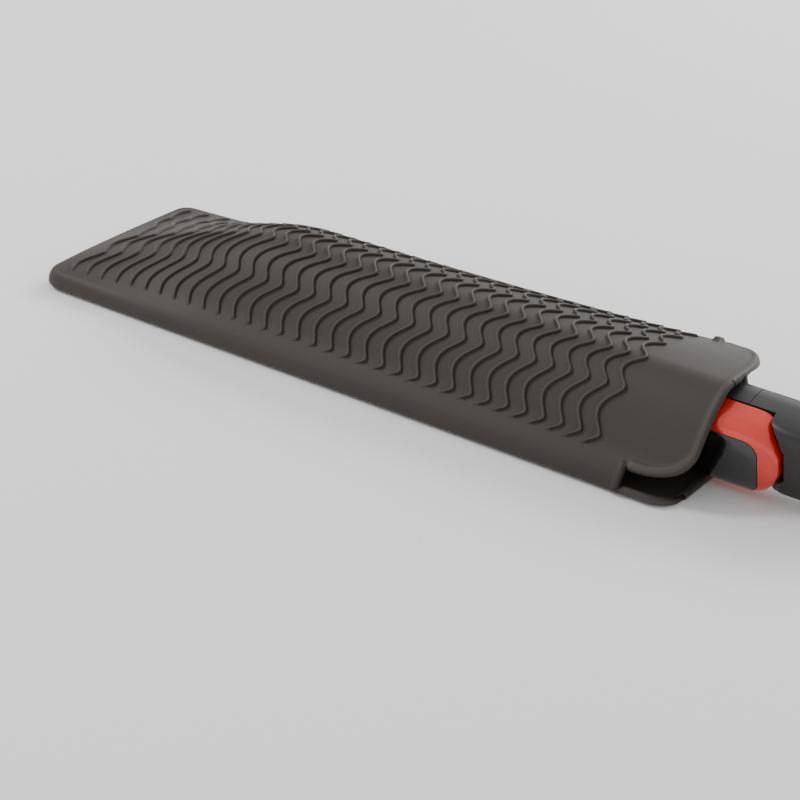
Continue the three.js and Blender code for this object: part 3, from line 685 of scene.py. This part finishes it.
for node, obj in frame["nodes"].items():
    for entry in obj.material_slots:
        entry.material = finishes[slot_of[node]]

# ---- The iron's outer pieces: the CAD's own shape, smoothly shaded, with softened edges ----
SHARP = math.radians(32)
FLAT = math.radians(0.4)


def refined(name, node, body, round_edge):
    source = frame["nodes"][node]
    mesh = bpy.data.meshes.new(name)
    work = bmesh.new()
    work.from_mesh(source.data)
    bmesh.ops.remove_doubles(work, verts=work.verts, dist=2e-6)
    bmesh.ops.dissolve_degenerate(work, dist=5e-6, edges=work.edges)
    bmesh.ops.dissolve_limit(work, angle_limit=FLAT, verts=work.verts, edges=work.edges)
    for face in work.faces:
        face.smooth = True
    for edge in work.edges:
        edge.smooth = edge.is_manifold and edge.calc_face_angle(0) < SHARP
    work.to_mesh(mesh)
    work.free()
    mesh.materials.append(finishes[slot_of[node]])
    obj = bpy.data.objects.new(name, mesh)
    bpy.context.scene.collection.objects.link(obj)
    bevel = obj.modifiers.new("edges", "BEVEL")
    bevel.width = round_edge * MM
    bevel.segments = 2
    bevel.limit_method = "ANGLE"
    bevel.angle_limit = SHARP
    bevel.harden_normals = True
    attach(obj, body)
    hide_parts(node)
    return obj


refined("trim_band", "accent_trim", "front_arm", 0.25)
refined("panel_face", "gloss_panel", "front_arm", 0.2)
refined("front_shell", "front_arm_shell", "front_arm", 0.15)
refined("rear_shell", "rear_arm_shell", "main", 0.2)
refined("tail_shell", "tail_housing", "main", 0.25)
refined("tail_cover", "tail_back_cover", "main", 0.2)

# ---- Stage ----
FLOOR_HALF = 6
FLOOR_Z = -0.0001
floor_mesh = bpy.data.meshes.new("floor")
floor_corners = [(-1, -1), (1, -1), (1, 1), (-1, 1)]
floor_points = [(FLOOR_HALF * x, FLOOR_HALF * y, FLOOR_Z) for x, y in floor_corners]
floor_mesh.from_pydata(floor_points, [], [(0, 1, 2, 3)])
floor = bpy.data.objects.new("floor", floor_mesh)
bpy.context.scene.collection.objects.link(floor)
floor_material = bpy.data.materials.new("floor")
floor_material.use_nodes = True
floor_shader = floor_material.node_tree.nodes["Principled BSDF"]
floor_shader.inputs["Base Color"].default_value = (0.9, 0.9, 0.9, 1)
floor_shader.inputs["Roughness"].default_value = 0.9
floor_mesh.materials.append(floor_material)

world = bpy.data.worlds.new("studio")
world.use_nodes = True
world.node_tree.nodes["Background"].inputs["Color"].default_value = (1, 1, 1, 1)
world.node_tree.nodes["Background"].inputs["Strength"].default_value = 0.85
bpy.context.scene.world = world


def area_light(name, place, target, size, power):
    data = bpy.data.lights.new(name, "AREA")
    data.shape = "RECTANGLE"
    data.size, data.size_y = size
    data.energy = power
    lamp = bpy.data.objects.new(name, data)
    bpy.context.scene.collection.objects.link(lamp)
    lamp.location = place
    lamp.rotation_mode = "QUATERNION"
    lamp.rotation_quaternion = (Vector(target) - Vector(place)).to_track_quat("-Z", "Y")


area_light("key", (-1.0, -0.35, 1.0), (-0.1, 0, 0), (0.3, 0.3), 8)
area_light("back", (0.1, 1.2, 0.8), (-0.1, 0, 0), (0.9, 0.5), 15)
